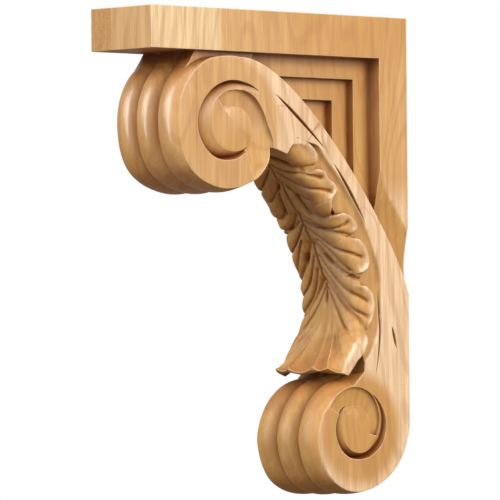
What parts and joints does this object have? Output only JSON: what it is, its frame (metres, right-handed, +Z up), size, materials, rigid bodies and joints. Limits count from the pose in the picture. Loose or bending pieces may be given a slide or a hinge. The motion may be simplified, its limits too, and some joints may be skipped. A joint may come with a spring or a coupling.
{
  "type": "corbel bracket",
  "caption": "Carved maple corbel bracket: a scroll with reeded volutes and an acanthus leaf braces a flat slab from a wall board",
  "frame": {"origin": "on the back face that lies against the wall, midway across the width and at half of the height", "axes": "+Z up, +Y out of the back face into the wall, X across the width"},
  "size_m": [0.0666, 0.254, 0.352],
  "materials": {
    "maple": "carved maple with a clear satin finish over a light honey stain"
  },
  "bodies": {
    "root": {"corbel": "maple"}
  },
  "joints": []
}
